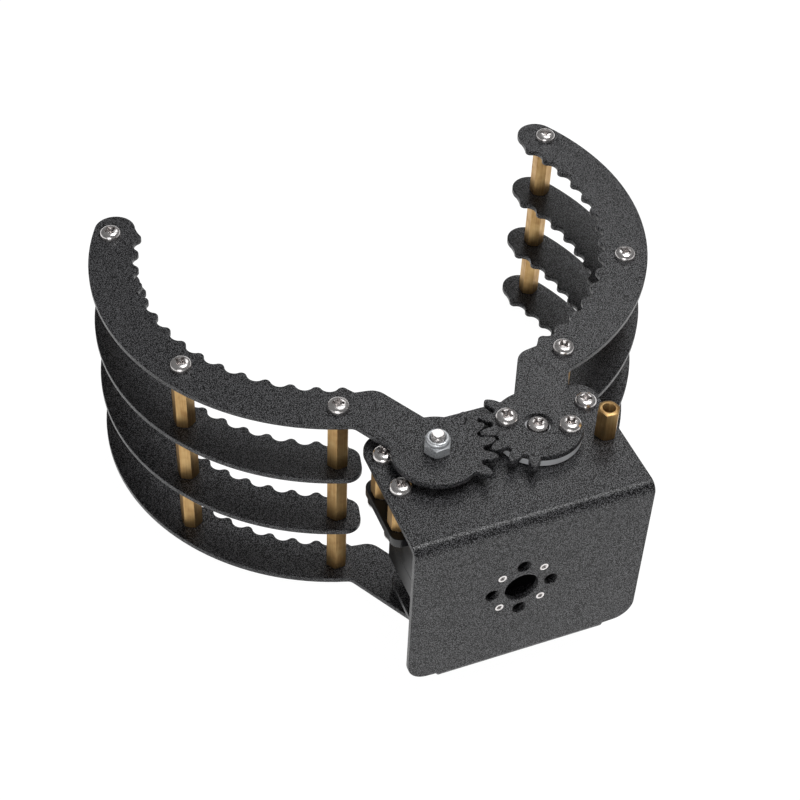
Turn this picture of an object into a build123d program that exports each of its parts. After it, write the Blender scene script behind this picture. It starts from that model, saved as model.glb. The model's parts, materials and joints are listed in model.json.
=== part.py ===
from build123d import *
import math
import os

# Robot claw gripper: two geared claws on a bent sheet bracket, driven by a standard size servo.
# Millimetres. The origin is the centre of the bore in the mounting face, on its outer side.
# +Y points from the mounting face along the claws, +Z up through the driven shaft, +X right.

# Sheet metal and the spacing of the layers: four claw sheets kept apart by three hexagonal spacers,
# the first above the bracket's shelf and the last below its foot
SHEET = 1.5
SPACER = 16.0
PLATE_GAP = 2.0
BRACKET_TOP = 22.0
LAYER_PITCH = SPACER + SHEET
TOP_PLATE_Z = BRACKET_TOP + PLATE_GAP
LAYER_Z = [TOP_PLATE_Z - level * LAYER_PITCH for level in range(4)]

# Bracket
BRACKET_BOTTOM = LAYER_Z[3] + SHEET + PLATE_GAP
BEND_INNER = 1.0
BEND_RADIUS = BEND_INNER + SHEET
SHELF_BACK = 34.5
SHELF_CORNER = 5.0
FOOT_WIDTH = 41.0
FOOT_BACK = 32.5

# Holes of the mounting face: a bore, then clearance and tapped holes by turns on one circle
FACE_BORE = 4.0
FACE_PCD = 14.0
FACE_HOLE = 1.6
FACE_TAPPED = 1.0
FACE_HOLES = 8

# Pivots and sector gears
GEAR_MODULE = 1.5
GEAR_TEETH = 16
PRESSURE_ANGLE = math.radians(25)
ADDENDUM = 0.9
DEDENDUM = 1.25
TOOTH_ROOTED = 0.6
TIP_ROUND = 0.25
ROOT_ROUND = 0.5
PITCH_R = GEAR_MODULE * GEAR_TEETH / 2
TIP_R = PITCH_R + ADDENDUM * GEAR_MODULE
ROOT_R = PITCH_R - DEDENDUM * GEAR_MODULE
BASE_R = PITCH_R * math.cos(PRESSURE_ANGLE)
TOOTH_STEP = 360 / GEAR_TEETH
BACKLASH = 0.30
PIVOT_X = PITCH_R
PIVOT_Y = 22.75
MESH_ANGLE = 6.1
RIGHT_TEETH = [180 - MESH_ANGLE + k * TOOTH_STEP for k in range(-2, 4)]
LEFT_TEETH = [MESH_ANGLE + (k + 0.5) * TOOTH_STEP for k in range(-3, 2)]
LEFT_LEAD = 1.27

# Claw outline, seen from above with the pivot at 0, 0: a bar from the pivot and a curved finger
OUTER_R = 58.2
FINGER_X = -3.0
FINGER_GAP = 10.8
ARC_CENTRE = (FINGER_X, OUTER_R + FINGER_GAP)
FINGER_WIDTH = 10.4
VALLEY_R = OUTER_R - FINGER_WIDTH
TOOTH_DEPTH = 1.4
TOOTH_ROUND = 0.55
PEAK_R = VALLEY_R - TOOTH_DEPTH
FLANK_R = PEAK_R + TOOTH_ROUND
FIRST_PEAK = -71.2
PEAK_STEP = 7.0
PEAKS = 15
PEAK_HALF = 1.3
LAST_PEAK = FIRST_PEAK + (PEAKS - 1) * PEAK_STEP
CAP_R = FINGER_WIDTH / 2 - 0.3
CAP_ANGLE = LAST_PEAK + 2.65
MID_ANGLE = -20.0

# Near end of a gear or bottom sheet: the bar from the pivot and the corners where it meets the finger
BAR_ANGLE = 61.7
BAR_HALF = 5.9
BAR_LEAVE = FIRST_PEAK + 1.2
OUTER_CORNER_AT = 18.27
OUTER_CORNER_R = 2.0
INNER_CORNER_AT = 21.55
INNER_CORNER_R = 4.2
DIP_BEFORE = 3.2
DIP_DEPTH = 0.4

# Near end of a middle sheet, which stops beyond the near post
NEAR_PAST = 4.5
NEAR_END = FIRST_PEAK - NEAR_PAST
NEAR_CORNER = 3.8
NEAR_BEVEL = 3.4
NEAR_BEVEL_TURN = 2.5

# Posts that hold the sheets apart: distance in from the outer edge, angle, and turn of the hexagon
POST_EDGES = [4.4, 5.6, 5.27]
POST_ANGLES = [26.85, -28.37, -69.9]
POST_TURNS = [0.0, 0.0, 25.0]

# M3 hardware
M3_R = 1.5
M3_CLEAR = M3_R + 0.1
THREAD_GAP = 0.05
PAN_R = 2.55
PAN_H = 1.8
PAN_ROUND = 0.55
SCREW_REACH = 4.5
HEX_FLATS = 4.5
HEX_BORE = 5.0
NUT_FLATS = 5.5
NUT_H = 4.0
NUT_CORNER_R = 3.0
NUT_COLLAR_H = 1.3
NUT_COLLAR_R = NUT_FLATS / 2 - 0.1
NUT_COLLAR_ROUND = 0.6
NUT_TURN = 26.7
UPPER_BOLT_END = 1.2
LOWER_BOLT_END = 0.4
SLEEVE_R = 2.1
SLEEVE_GAP = 0.05
BUSH_R = 4.0
BUSH_END = 0.1
WASHER_R = 3.2
WASHER_T = 0.5

# Servo of the standard size: case, ears and what is inside
SHAFT_OFFSET = 10.0
SERVO_X = PIVOT_X - SHAFT_OFFSET
SERVO_L = 40.4
SERVO_W = 20.0
EAR_REACH = 7.05
EAR_L = SERVO_L + 2 * EAR_REACH
EAR_W = 19.0
EAR_T = 2.5
EAR_CORNER = 2.5
EAR_HOLE = 2.2
EAR_HOLE_OUT = 4.05
EAR_SPACING_X = SERVO_L + 2 * EAR_HOLE_OUT
EAR_SPACING_Y = 10.0
BRACKET_MARGIN = 3.75
BRACKET_WIDTH = EAR_SPACING_X + 2 * BRACKET_MARGIN
EAR_STANDOFF = 10.0
EAR_TOP = BRACKET_TOP - SHEET - EAR_STANDOFF
CASE_ABOVE_EARS = 7.2
CASE_BELOW_EARS = 25.7
COVER_DEPTH = 6.5
CASE_TOP = EAR_TOP + CASE_ABOVE_EARS
CASE_BOTTOM = EAR_TOP - EAR_T - CASE_BELOW_EARS
COVER_TOP = CASE_BOTTOM + COVER_DEPTH
CASE_ROUND = 1.0
CASE_TOP_ROUND = 0.6
WALL = 1.5
COLUMN = 4.2
PARTITION_T = 1.5
PARTITION_Z = EAR_TOP - EAR_T
CASE_SCREW_R = 1.0
CASE_SCREW_HEAD_R = 1.8
CASE_SCREW_HEAD_H = 1.3
CASE_SCREW_IN = 2.3
CASE_SCREW_SEAT = 1.6
CASE_SCREW_SHORT = 2.5
CASE_SCREW_TOP = CASE_TOP - CASE_SCREW_SHORT
LEAD_ABOVE = 3.6
LEAD_W = 5.0
LEAD_H = 2.6
LEAD_WIRES = 3
LEAD_WIRE_R = 0.5
LEAD_LIP = 0.5
MOTOR_R = 9.4
MOTOR_GAP = 1.3
MOTOR_FLAT = SERVO_W / 2 - WALL - 0.9
MOTOR_X = SERVO_X - SERVO_L / 2 + WALL + MOTOR_GAP + MOTOR_R
MOTOR_NOSE_R = 3.0
MOTOR_NOSE_H = PARTITION_T - 0.5
MOTOR_SHAFT_R = 1.0
MOTOR_SHAFT_H = 5.0
MOTOR_ABOVE_BOARD = 0.3
BOARD_T = 1.2
BOARD_ABOVE = 3.0
BOARD_GAP = 0.6
CHIP_L = 8.0
CHIP_W = 6.0
SENSOR_R = 6.2
SENSOR_H = 7.0
SENSOR_BORE_R = 1.6
SENSOR_BORE_H = 3.5
PLAY = 0.3

# Output shaft of the servo, and the horn on it
BOSS_R = 6.5
BOSS_H = 1.5
SHAFT_R = 2.95
SHAFT_FIT = 0.02
BEARING_R = 5.0
BEARING_H = 2.5
BEARING_STANDS = 0.5
BEARING_WALL = 1.2
OUTPUT_R = 7.6
OUTPUT_H = 2.4
OUTPUT_TEETH = 30
OUTPUT_NOTCH = 0.36
STEM_R = SENSOR_BORE_R - 0.1
STEM_SHORT = 0.5
HORN_R = 10.0
HORN_GAP = 0.3
HORN_T = PLATE_GAP - HORN_GAP
HORN_HUB_R = 4.6
HORN_FLOOR = 0.6
HORN_SCREWS = 4
HORN_PCD = 14.0
HORN_SCREW_ANGLE = -28.6
HORN_SCREW_L = HORN_T + SHEET + 0.8
CENTRE_SCREW_L = 7.0
CENTRE_BORE = 8.0
HEAD_CLEAR = 0.45
SHELF_HORN_R = 9.2
STOP_H = 8.0
STOP_TURN = 24.0
EAR_SCREW_IN = 2.5
EAR_SCREW_L = WASHER_T + EAR_T + EAR_SCREW_IN

PARTS = {}


def solids_of(shapes):
    """Every solid of a list of shapes."""
    return [solid for shape in shapes for solid in shape.solids()]


def keep(name, *shapes):
    """Puts one sub-part on the list of what is written."""
    PARTS[name] = Compound(children=solids_of(shapes))


def rod(radius, z0, z1, x=0.0, y=0.0):
    """Upright cylinder between two heights."""
    upright = (Align.CENTER, Align.CENTER, Align.MIN)
    return Pos(x, y, min(z0, z1)) * Cylinder(radius, abs(z1 - z0), align=upright)


def block(x0, x1, y0, y1, z0, z1):
    """Box between two corners."""
    centre = Pos((x0 + x1) / 2, (y0 + y1) / 2, (z0 + z1) / 2)
    return centre * Box(x1 - x0, y1 - y0, z1 - z0)


def tube(radius, bore, z0, z1, x=0.0, y=0.0):
    """Upright tube between two heights."""
    return rod(radius, z0, z1, x, y) - rod(bore, z0, z1, x, y)


def hexagon(flats, z0, z1, x=0.0, y=0.0, turn=0.0):
    """Upright hexagonal bar between two heights, turned in degrees."""
    face = Pos(x, y, min(z0, z1)) * RegularPolygon(flats / 2, 6, major_radius=False, rotation=30 + turn)
    return extrude(face, abs(z1 - z0))


def polar(radius, angle, centre=(0.0, 0.0)):
    """Point at a radius and an angle in degrees about a centre."""
    turn = math.radians(angle)
    return (centre[0] + radius * math.cos(turn), centre[1] + radius * math.sin(turn))


def pan_screw(length, up=1, radius=M3_R, head_r=PAN_R, head_h=PAN_H):
    """Pan head screw with the underside of its head at 0 and its shank along -Z, or along +Z."""
    head = rod(head_r, 0, head_h)
    head = fillet(head.edges().sort_by(Axis.Z)[-1], head_h * PAN_ROUND)
    screw = head + rod(radius, -length, 0)
    return screw if up > 0 else Rot(180, 0, 0) * screw


def lock_nut(turn=0.0):
    """Nylon insert nut standing on 0, with a round collar over the hexagon."""
    shoulder = NUT_H - NUT_COLLAR_H
    body = hexagon(NUT_FLATS, 0, shoulder, turn=turn) & rod(NUT_CORNER_R, 0, shoulder)
    collar = rod(NUT_COLLAR_R, shoulder, NUT_H)
    collar = fillet(collar.edges().sort_by(Axis.Z)[-1], NUT_COLLAR_ROUND)
    return body + collar - rod(M3_R + THREAD_GAP, 0, NUT_H)


def hex_spacer(length, z0, x, y, stud=0.0, turn=0.0):
    """Hexagonal spacer with a threaded bore above and a bore or a stud below."""
    body = hexagon(HEX_FLATS, z0, z0 + length, x, y, turn)
    body -= rod(M3_R + THREAD_GAP, z0 + length - HEX_BORE, z0 + length, x, y)
    if stud:
        return body + rod(M3_R, z0 - stud, z0, x, y)
    return body - rod(M3_R + THREAD_GAP, z0, z0 + HEX_BORE, x, y)


def pivot_bush(z_flange, up):
    """Shouldered bush: a spacer collar and a thinner sleeve that the claw sheet turns on."""
    collar = rod(BUSH_R, z_flange, z_flange + up * PLATE_GAP)
    tip = z_flange + up * (PLATE_GAP + SHEET + BUSH_END)
    sleeve = rod(SLEEVE_R, z_flange + up * PLATE_GAP, tip)
    bore = rod(M3_R + THREAD_GAP, z_flange, tip)
    return collar + sleeve - bore


def on_finger(radius, angle):
    """Point in the claw outline, polar about the centre of the curved finger."""
    return polar(radius, angle, ARC_CENTRE)


def grip_edges():
    """Row of rounded grip teeth along the inner side of the finger."""
    edges = []
    for k in range(PEAKS):
        peak = FIRST_PEAK + k * PEAK_STEP
        left, right = peak - PEAK_HALF, peak + PEAK_HALF
        edges.append(ThreePointArc(on_finger(FLANK_R, left), on_finger(PEAK_R, peak),
                                   on_finger(FLANK_R, right)))
        if k < PEAKS - 1:
            next_left = peak + PEAK_STEP - PEAK_HALF
            edges.append(ThreePointArc(on_finger(FLANK_R, right), on_finger(VALLEY_R, peak + PEAK_STEP / 2),
                                       on_finger(FLANK_R, next_left)))
    return edges


def tip_edges():
    """Rounded tip of the finger, from the last grip tooth round to the outer side."""
    cap = on_finger(OUTER_R - CAP_R, CAP_ANGLE)
    last = LAST_PEAK + PEAK_HALF
    start = polar(CAP_R, CAP_ANGLE + 165.5, cap)
    return [ThreePointArc(on_finger(FLANK_R, last), on_finger(VALLEY_R, last + PEAK_HALF), start),
            ThreePointArc(start, polar(CAP_R, CAP_ANGLE + 82.5, cap), on_finger(OUTER_R, CAP_ANGLE))]


def bar_point(side, along):
    """Point on one long side of the bar between the pivot and the finger."""
    ahead = polar(along, BAR_ANGLE)
    across = polar(side * BAR_HALF, BAR_ANGLE - 90)
    return (ahead[0] + across[0], ahead[1] + across[1])


def short_end():
    """Rounded near end of a middle sheet, which stops beyond the near post."""
    centre_r = OUTER_R - NEAR_CORNER
    swing = math.degrees(math.asin(NEAR_CORNER / centre_r))
    centre = on_finger(centre_r, NEAR_END + swing)
    outer = on_finger(OUTER_R, NEAR_END + swing)
    down = on_finger(centre_r * math.cos(math.radians(swing)), NEAR_END)
    start = on_finger(FLANK_R, FIRST_PEAK - PEAK_HALF)
    bevel_start = on_finger(VALLEY_R + NEAR_BEVEL, NEAR_END)
    bevel_end = on_finger(VALLEY_R + 0.2 * NEAR_BEVEL, NEAR_END + NEAR_BEVEL_TURN)
    bevel_middle = on_finger(VALLEY_R + 0.45 * NEAR_BEVEL, NEAR_END + 0.38 * NEAR_BEVEL_TURN)
    return [ThreePointArc(on_finger(OUTER_R, CAP_ANGLE), on_finger(OUTER_R, MID_ANGLE), outer),
            ThreePointArc(outer, polar(NEAR_CORNER, NEAR_END + swing / 2 - 45, centre), down),
            Line(down, bevel_start),
            ThreePointArc(bevel_start, bevel_middle, bevel_end),
            Line(bevel_end, start)]


def long_end():
    """Near end of a top or bottom sheet, which carries on as a bar to the pivot."""
    outer_end = on_finger(OUTER_R, BAR_LEAVE)
    outer_corner = bar_point(1, OUTER_CORNER_AT)
    inner_corner = bar_point(-1, INNER_CORNER_AT)
    dip = on_finger(VALLEY_R + DIP_DEPTH, FIRST_PEAK - DIP_BEFORE)
    start = on_finger(FLANK_R, FIRST_PEAK - PEAK_HALF)
    return [ThreePointArc(on_finger(OUTER_R, CAP_ANGLE), on_finger(OUTER_R, MID_ANGLE), outer_end),
            FilletPolyline(outer_end, outer_corner, bar_point(1, 0), radius=OUTER_CORNER_R),
            Line(bar_point(1, 0), bar_point(-1, 0)),
            FilletPolyline(bar_point(-1, 0), inner_corner, dip, radius=INNER_CORNER_R),
            Line(dip, start)]


def gear_tooth(angle):
    """One involute tooth of the sector gear, thinned for backlash, round at tip and root."""
    def involute(pressure):
        return math.tan(pressure) - pressure

    def half(radius):
        thick = math.pi / (2 * GEAR_TEETH) - BACKLASH / (4 * PITCH_R)
        return math.degrees(thick + involute(PRESSURE_ANGLE) - involute(math.acos(BASE_R / radius)))

    crest = TIP_R - TIP_ROUND
    crest_turn = half(crest)
    middle = (crest + BASE_R) / 2
    base = half(BASE_R)
    flare = math.degrees(ROOT_ROUND / ROOT_R)
    bow = 1 - math.sqrt(0.5)
    inside = ROOT_R - TOOTH_ROOTED

    def flank(side):
        foot = polar(ROOT_R, angle + side * (base + flare))
        foot_middle = polar(ROOT_R + bow * ROOT_ROUND, angle + side * (base + bow * flare))
        foot_top = polar(ROOT_R + ROOT_ROUND, angle + side * base)
        start = polar(BASE_R, angle + side * base)
        halfway = polar(middle, angle + side * half(middle))
        return [Line(polar(inside, angle + side * (base + flare)), foot),
                ThreePointArc(foot, foot_middle, foot_top),
                Line(foot_top, start),
                ThreePointArc(start, halfway, polar(crest, angle + side * crest_turn))]

    left, right = polar(crest, angle - crest_turn), polar(crest, angle + crest_turn)
    tip = ThreePointArc(left, polar(TIP_R, angle), right)
    bottom = Line(polar(inside, angle + base + flare), polar(inside, angle - base - flare))
    return make_face(Wire(flank(-1) + [tip] + flank(1)[::-1] + [bottom]))


def claw_sheet(kind, teeth=(), pivot_holes=()):
    """One sheet of the right claw, flat on 0: kind is gear, middle or bottom."""
    ending = short_end() if kind == "middle" else long_end()
    lines = grip_edges() + tip_edges() + ending
    outline = make_face(Wire([edge for line in lines for edge in line.edges()]))
    if kind == "gear":
        outline += Circle(ROOT_R)
    if kind == "bottom":
        outline += Circle(BAR_HALF)
    for angle in teeth:
        outline += gear_tooth(angle)
    sheet = extrude(outline, SHEET)
    for x, y in posts():
        sheet -= rod(M3_CLEAR, 0, SHEET, x, y)
    for x, y, radius in pivot_holes:
        sheet -= rod(radius, 0, SHEET, x, y)
    return sheet


def posts():
    """Centres of the far, middle and near post in the claw outline."""
    return [on_finger(OUTER_R - edge, angle) for edge, angle in zip(POST_EDGES, POST_ANGLES)]


def place_right(shape, z=0.0):
    """Right claw frame to the part frame."""
    return Pos(PIVOT_X, PIVOT_Y, z) * shape


def place_left(shape, z=0.0):
    """Right claw frame to the left claw, mirrored and turned to its tooth."""
    return Pos(-PIVOT_X, PIVOT_Y, z) * Rot(0, 0, LEFT_LEAD) * mirror(shape, about=Plane.YZ)


def mirrored_teeth(angles):
    """Left tooth angles carried back into the frame of the right claw."""
    return [180 - (angle - LEFT_LEAD) for angle in angles]


def make_claw(side, place, gear_sheet):
    """Sheets, spacers and screws of one claw."""
    pivot = [(0, 0, SLEEVE_R + SLEEVE_GAP)]
    keep(f"{side}_gear_plate", place(gear_sheet, LAYER_Z[0]))
    keep(f"{side}_upper_middle_plate", place(claw_sheet("middle"), LAYER_Z[1]))
    keep(f"{side}_lower_middle_plate", place(claw_sheet("middle"), LAYER_Z[2]))
    keep(f"{side}_bottom_plate", place(claw_sheet("bottom", pivot_holes=pivot), LAYER_Z[3]))
    reach = SHEET + SCREW_REACH
    for name, level, stud in (("upper", 1, reach), ("middle", 2, reach), ("lower", 3, 0.0)):
        foot = LAYER_Z[level] + SHEET
        spacers = [hex_spacer(SPACER, foot, x, y, stud, turn) for (x, y), turn in zip(posts(), POST_TURNS)]
        keep(f"{side}_{name}_spacers", *[place(spacer) for spacer in spacers])
    top, bottom = LAYER_Z[0] + SHEET, LAYER_Z[3]
    keep(f"{side}_top_screws", *[place(Pos(x, y, top) * pan_screw(reach)) for x, y in posts()])
    keep(f"{side}_bottom_screws",
         *[place(Pos(x, y, bottom) * pan_screw(reach, up=-1)) for x, y in posts()])


def make_bracket():
    """Bent sheet bracket: top shelf, mounting face and narrower foot."""
    x0, x1 = SERVO_X - BRACKET_WIDTH / 2, SERVO_X + BRACKET_WIDTH / 2
    top, bottom = BRACKET_TOP, BRACKET_BOTTOM

    def bend(z_centre, half):
        ring = Circle(BEND_RADIUS) - Circle(BEND_INNER)
        towards = Align.MIN if half > 0 else Align.MAX
        quarter = Rectangle(BEND_RADIUS, BEND_RADIUS, align=(Align.MAX, towards))
        return Plane.YZ * Pos(BEND_RADIUS, z_centre) * (ring & quarter)

    def rear_corners(shape, back):
        upright = shape.edges().filter_by(Axis.Z)
        return [edge for edge in upright if edge.center().Y > back - SHEET]

    shelf = block(x0, x1, BEND_RADIUS, SHELF_BACK, top - SHEET, top)
    shelf = fillet(rear_corners(shelf, SHELF_BACK), SHELF_CORNER)
    face = block(x0, x1, 0, SHEET, bottom + BEND_RADIUS, top - BEND_RADIUS)
    low_corners = face.edges().filter_by(Axis.Y).sort_by(Axis.Z)[:2]
    face = fillet(low_corners, SHELF_CORNER)
    top_bend = Pos(x0, 0, 0) * extrude(bend(top - BEND_RADIUS, 1), BRACKET_WIDTH)
    f0, f1 = SERVO_X - FOOT_WIDTH / 2, SERVO_X + FOOT_WIDTH / 2
    foot = block(f0, f1, BEND_RADIUS, FOOT_BACK, bottom, bottom + SHEET)
    foot = fillet(rear_corners(foot, FOOT_BACK), SHELF_CORNER)
    low_bend = Pos(f0, 0, 0) * extrude(bend(bottom + BEND_RADIUS, -1), FOOT_WIDTH)
    bracket = shelf + face + top_bend + foot + low_bend

    for x, y in servo_holes():
        bracket -= rod(M3_CLEAR, top - SHEET, top, x, y)
    bracket -= rod(SHELF_HORN_R, top - SHEET, top, PIVOT_X, PIVOT_Y)
    bracket -= rod(M3_CLEAR, top - SHEET, top, -PIVOT_X, PIVOT_Y)
    for x in (-PIVOT_X, PIVOT_X):
        bracket -= rod(M3_CLEAR, bottom, bottom + SHEET, x, PIVOT_Y)
    bracket -= face_hole(FACE_BORE, 0, 0)
    for k in range(FACE_HOLES):
        radius = FACE_HOLE if k % 2 == 0 else FACE_TAPPED
        x, z = polar(FACE_PCD / 2, k * 360 / FACE_HOLES)
        bracket -= face_hole(radius, x, z)
    keep("mounting_bracket", bracket)


def face_hole(radius, x, z):
    """Round hole straight through the mounting face."""
    return Pos(x, SHEET / 2, z) * Rot(90, 0, 0) * Cylinder(radius, SHEET * 2)


def servo_holes():
    """Centres of the four ear holes, left back, left front, right back, right front."""
    half_x, half_y = EAR_SPACING_X / 2, EAR_SPACING_Y / 2
    return [(SERVO_X + i * half_x, PIVOT_Y + j * half_y) for i in (-1, 1) for j in (1, -1)]


def case_screw_places():
    """Centres of the four long screws in the corners of the servo case."""
    half_x, half_y = SERVO_L / 2 - CASE_SCREW_IN, SERVO_W / 2 - CASE_SCREW_IN
    return [(SERVO_X + i * half_x, PIVOT_Y + j * half_y) for i in (-1, 1) for j in (-1, 1)]


def servo_block(half_l, half_w, z0, z1):
    """Block centred on the servo, from half its length and half its width."""
    return block(SERVO_X - half_l, SERVO_X + half_l, PIVOT_Y - half_w, PIVOT_Y + half_w, z0, z1)


def case_block(z0, z1):
    """Outer body of the servo between two heights, with rounded upright edges."""
    body = servo_block(SERVO_L / 2, SERVO_W / 2, z0, z1)
    return fillet(body.edges().filter_by(Axis.Z), CASE_ROUND)


def case_cavity(z0, z1):
    """Hollow of the servo between two heights, leaving a column in each corner."""
    half_l, half_w = SERVO_L / 2 - WALL, SERVO_W / 2 - WALL
    column = COLUMN - WALL
    return servo_block(half_l, half_w - column, z0, z1) + servo_block(half_l - column, half_w, z0, z1)


def make_servo_case():
    """Three moulded shells of the servo and the long screws that hold them together."""
    seat = CASE_BOTTOM + CASE_SCREW_SEAT
    cover = case_block(CASE_BOTTOM, COVER_TOP) - case_cavity(CASE_BOTTOM + WALL, COVER_TOP)
    middle = case_block(COVER_TOP, EAR_TOP) - case_cavity(COVER_TOP, PARTITION_Z)
    middle -= case_cavity(PARTITION_Z + PARTITION_T, EAR_TOP)
    middle -= rod(MOTOR_NOSE_R + PLAY, PARTITION_Z, EAR_TOP, MOTOR_X, PIVOT_Y)
    middle -= rod(SENSOR_BORE_R + PLAY, PARTITION_Z, EAR_TOP, PIVOT_X, PIVOT_Y)
    ears = servo_block(EAR_L / 2, EAR_W / 2, EAR_TOP - EAR_T, EAR_TOP)
    ears = fillet(ears.edges().filter_by(Axis.Z), EAR_CORNER)
    middle += ears - case_block(EAR_TOP - EAR_T, EAR_TOP)
    top = case_block(EAR_TOP, CASE_TOP) - case_cavity(EAR_TOP, CASE_TOP - WALL)
    top = fillet(top.edges().sort_by(Axis.Z)[-4:], CASE_TOP_ROUND)
    top += rod(BOSS_R, CASE_TOP, CASE_TOP + BOSS_H, PIVOT_X, PIVOT_Y)
    top += rod(BEARING_R + BEARING_WALL, CASE_TOP - BEARING_H, CASE_TOP, PIVOT_X, PIVOT_Y)
    top -= rod(SHAFT_R + PLAY, CASE_TOP - BEARING_H, CASE_TOP + BOSS_H, PIVOT_X, PIVOT_Y)
    top -= rod(BEARING_R, CASE_TOP - BEARING_H, CASE_TOP + BEARING_STANDS, PIVOT_X, PIVOT_Y)

    for x, y in case_screw_places():
        hole = rod(CASE_SCREW_R + THREAD_GAP, CASE_BOTTOM, CASE_SCREW_TOP, x, y)
        cover, middle, top = cover - hole, middle - hole, top - hole
        cover -= rod(CASE_SCREW_HEAD_R + PLAY / 2, CASE_BOTTOM, seat, x, y)
    for x, y in servo_holes():
        middle -= rod(EAR_HOLE, EAR_TOP - EAR_T, EAR_TOP, x, y)
    lead = Pos(SERVO_X + SERVO_L / 2, PIVOT_Y, CASE_BOTTOM + LEAD_ABOVE)
    cover -= lead * Box(2 * COLUMN, LEAD_W, LEAD_H)
    keep("servo_bottom_cover", cover)
    keep("servo_middle_case", middle)
    keep("servo_top_case", top)
    screw = pan_screw(CASE_SCREW_TOP - seat, -1, CASE_SCREW_R, CASE_SCREW_HEAD_R, CASE_SCREW_HEAD_H)
    keep("servo_case_screws", *[Pos(x, y, seat) * screw for x, y in case_screw_places()])

    grommet = lead * Box(2 * WALL, LEAD_W, LEAD_H)
    grommet += lead * Pos(WALL, 0, 0) * Box(2 * WALL, LEAD_W + 2 * LEAD_LIP, LEAD_H + 2 * LEAD_LIP)
    grommet -= case_block(CASE_BOTTOM, COVER_TOP) - lead * Box(2 * COLUMN, LEAD_W, LEAD_H)
    for k in range(LEAD_WIRES):
        across = (k - (LEAD_WIRES - 1) / 2) * (LEAD_W - LEAD_WIRE_R) / LEAD_WIRES
        grommet -= lead * Pos(0, across, 0) * Rot(0, 90, 0) * Cylinder(LEAD_WIRE_R, 4 * COLUMN)
    keep("servo_lead_grommet", grommet)


def make_servo_inside():
    """Motor, control board, position sensor and output bearing inside the servo."""
    foot = COVER_TOP + MOTOR_ABOVE_BOARD
    can = rod(MOTOR_R, foot, PARTITION_Z, MOTOR_X, PIVOT_Y)
    can &= servo_block(SERVO_L / 2, MOTOR_FLAT, foot, PARTITION_Z)
    can += rod(MOTOR_NOSE_R, PARTITION_Z, PARTITION_Z + MOTOR_NOSE_H, MOTOR_X, PIVOT_Y)
    can += rod(MOTOR_SHAFT_R, PARTITION_Z, PARTITION_Z + MOTOR_SHAFT_H, MOTOR_X, PIVOT_Y)
    keep("servo_motor", can)
    floor = CASE_BOTTOM + WALL
    board_z = floor + BOARD_ABOVE
    board = servo_block(SERVO_L / 2, SERVO_W / 2, board_z, board_z + BOARD_T)
    board &= case_cavity(board_z, board_z + BOARD_T)
    board &= servo_block(SERVO_L / 2 - WALL - BOARD_GAP, SERVO_W / 2 - WALL - BOARD_GAP, floor, foot)
    board += servo_block(CHIP_L / 2, CHIP_W / 2, floor, board_z)
    keep("servo_control_board", board)
    sensor = rod(SENSOR_R, PARTITION_Z - SENSOR_H, PARTITION_Z, PIVOT_X, PIVOT_Y)
    sensor -= rod(SENSOR_BORE_R, PARTITION_Z - SENSOR_BORE_H, PARTITION_Z, PIVOT_X, PIVOT_Y)
    keep("servo_position_sensor", sensor)
    bearing = tube(BEARING_R, SHAFT_R + SHAFT_FIT, CASE_TOP - BEARING_H, CASE_TOP + BEARING_STANDS)
    keep("servo_output_bearing", place_right(bearing))


def make_output():
    """Output gear with its shaft, the horn on it and their screws, which all turn with the right claw."""
    gear_z = EAR_TOP + HORN_GAP
    shaft_top = TOP_PLATE_Z - HORN_FLOOR
    gear = rod(OUTPUT_R, gear_z, gear_z + OUTPUT_H)
    for k in range(OUTPUT_TEETH):
        gear -= rod(OUTPUT_NOTCH, gear_z, gear_z + OUTPUT_H, *polar(OUTPUT_R, k * 360 / OUTPUT_TEETH))
    shaft = rod(SHAFT_R, gear_z + OUTPUT_H, shaft_top)
    stem = rod(STEM_R, PARTITION_Z - SENSOR_BORE_H + STEM_SHORT, gear_z)
    bore = rod(M3_R + THREAD_GAP, TOP_PLATE_Z - CENTRE_BORE, TOP_PLATE_Z)
    keep("output_gear_shaft", place_right(gear + shaft + stem - bore))
    horn = rod(HORN_R, TOP_PLATE_Z - HORN_T, TOP_PLATE_Z)
    horn += rod(HORN_HUB_R, CASE_TOP + BOSS_H + HORN_GAP, TOP_PLATE_Z)
    horn -= rod(SHAFT_R + SHAFT_FIT, CASE_TOP, shaft_top)
    horn -= rod(M3_R + THREAD_GAP, shaft_top, TOP_PLATE_Z)
    for k in range(HORN_SCREWS):
        x, y = polar(HORN_PCD / 2, HORN_SCREW_ANGLE + k * 360 / HORN_SCREWS)
        horn -= rod(M3_R + THREAD_GAP, TOP_PLATE_Z - HORN_T, TOP_PLATE_Z, x, y)
    keep("servo_horn", place_right(horn))
    keep("horn_centre_screw", place_right(pan_screw(CENTRE_SCREW_L), TOP_PLATE_Z))
    plate_screw = Pos(0, 0, TOP_PLATE_Z + SHEET) * pan_screw(HORN_SCREW_L)
    keep("horn_plate_screws", *[place_right(Pos(x, y, 0) * plate_screw) for x, y in horn_places()])


def horn_places():
    """Centres of the two screws that tie the gear sheet to the horn, about the right pivot."""
    return [polar(HORN_PCD / 2, HORN_SCREW_ANGLE + turn) for turn in (0, 180)]


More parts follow.
